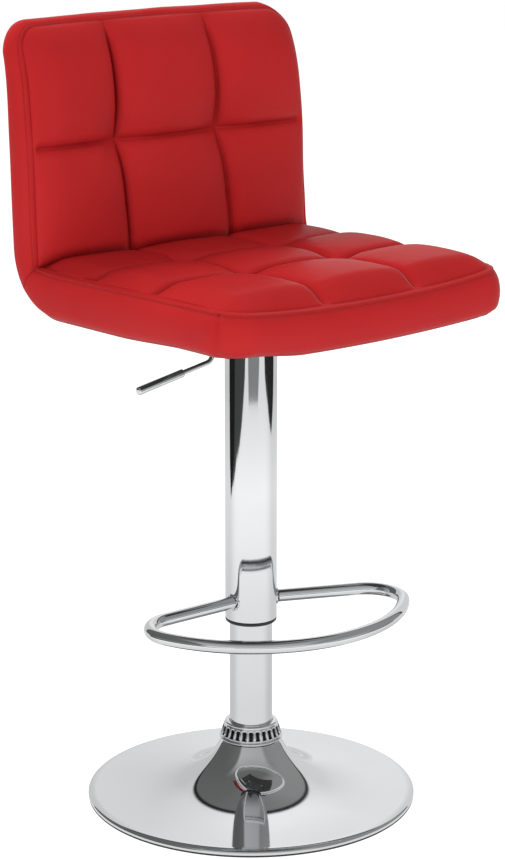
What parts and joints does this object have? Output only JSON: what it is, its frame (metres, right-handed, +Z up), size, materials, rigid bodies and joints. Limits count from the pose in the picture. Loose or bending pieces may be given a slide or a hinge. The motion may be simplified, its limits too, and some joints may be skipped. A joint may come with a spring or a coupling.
{
  "type": "swivel bar stool",
  "caption": "Height-adjustable swivel bar stool: tufted leather seat and back on a chrome gas-lift column, D-shaped footrest, side lever and round trumpet base.",
  "frame": {"origin": "centre of the base on the floor, on the axis of the column", "axes": "+Z up along the column, the sitter faces -Y, +X is at the sitter's left hand"},
  "size_m": [0.424, 0.3955, 0.905],
  "materials": {
    "chrome": "mirror-polished chrome plating",
    "steel": "plain machined or zinc-plated steel",
    "black_steel": "black powder coat",
    "black_plastic": "satin black moulded plastic",
    "nylon": "natural nylon",
    "rubber": "matt black rubber",
    "plywood": "bare moulded plywood",
    "foam": "open-cell seat foam",
    "leather": "fine-grained red synthetic leather with a soft sheen",
    "dust_cloth": "black non-woven dust cloth"
  },
  "bodies": {
    "base": {"base_shell": "chrome", "base_plate": "black_steel", "floor_ring": "rubber", "base_collar": "chrome", "column_flange": "steel", "column_tube": "chrome", "column_locknut": "steel", "column_floor": "steel", "guide_bush": "nylon", "bearing_lower_race": "steel"},
    "bearing": {"bearing_cage": "nylon"},
    "spindle": {"piston_rod": "steel", "piston": "steel", "bearing_upper_race": "steel", "bump_stop": "rubber", "rod_washer": "steel", "rod_clip": "steel"},
    "seat": {"pressure_tube": "black_steel", "rod_guide": "nylon", "rod_seal": "rubber", "valve_body": "steel", "shroud_tube": "chrome", "shroud_ring": "black_plastic", "shroud_cap": "steel", "footrest_bar": "chrome", "taper_hub": "steel", "seat_plate": "black_steel", "lever_bracket": "steel", "lever_pin": "steel", "seat_board": "plywood", "seat_foam": "foam", "back_foam": "foam", "seat_cover": "leather", "back_cover": "leather", "rear_cover": "leather", "dust_cover": "dust_cloth", "bolt_front_left": "steel", "bolt_front_right": "steel", "bolt_rear_left": "steel", "bolt_rear_right": "steel", "washer_front_left": "steel", "washer_front_right": "steel", "washer_rear_left": "steel", "washer_rear_right": "steel", "tee_nut_front_left": "steel", "tee_nut_front_right": "steel", "tee_nut_rear_left": "steel", "tee_nut_rear_right": "steel"},
    "lever": {"lever_rod": "chrome", "lever_sleeve": "chrome"},
    "button": {"release_button": "steel"}
  },
  "joints": [
    {"name": "seat_swivel", "type": "hinge", "parent": "base", "child": "spindle", "pos_m": [0, 0, 0.015], "axis": [0, 0, 1], "continuous": true},
    {"name": "seat_lift", "type": "slide", "parent": "spindle", "child": "seat", "axis": [0, 0, 1], "range_m": [-0.055, 0.155]},
    {"name": "lever_tilt", "type": "hinge", "parent": "seat", "child": "lever", "pos_m": [-0.03, 0, 0.5737], "axis": [0, 1, 0], "range_deg": [0, 6], "stiffness_Nm_per_rad": 2, "springref_deg": -2.86},
    {"name": "button_press", "type": "slide", "parent": "seat", "child": "button", "axis": [0, 0, -1], "range_m": [0, 0.00315]},
    {"name": "bearing_roll", "type": "hinge", "parent": "base", "child": "bearing", "pos_m": [0, 0, 0.015], "axis": [0, 0, 1], "continuous": true}
  ],
  "couplings": [
    {"joint": "bearing_roll", "follows": "seat_swivel", "ratio": 0.5},
    {"joint": "button_press", "follows": "lever_tilt", "m_per_rad": 0.03}
  ]
}
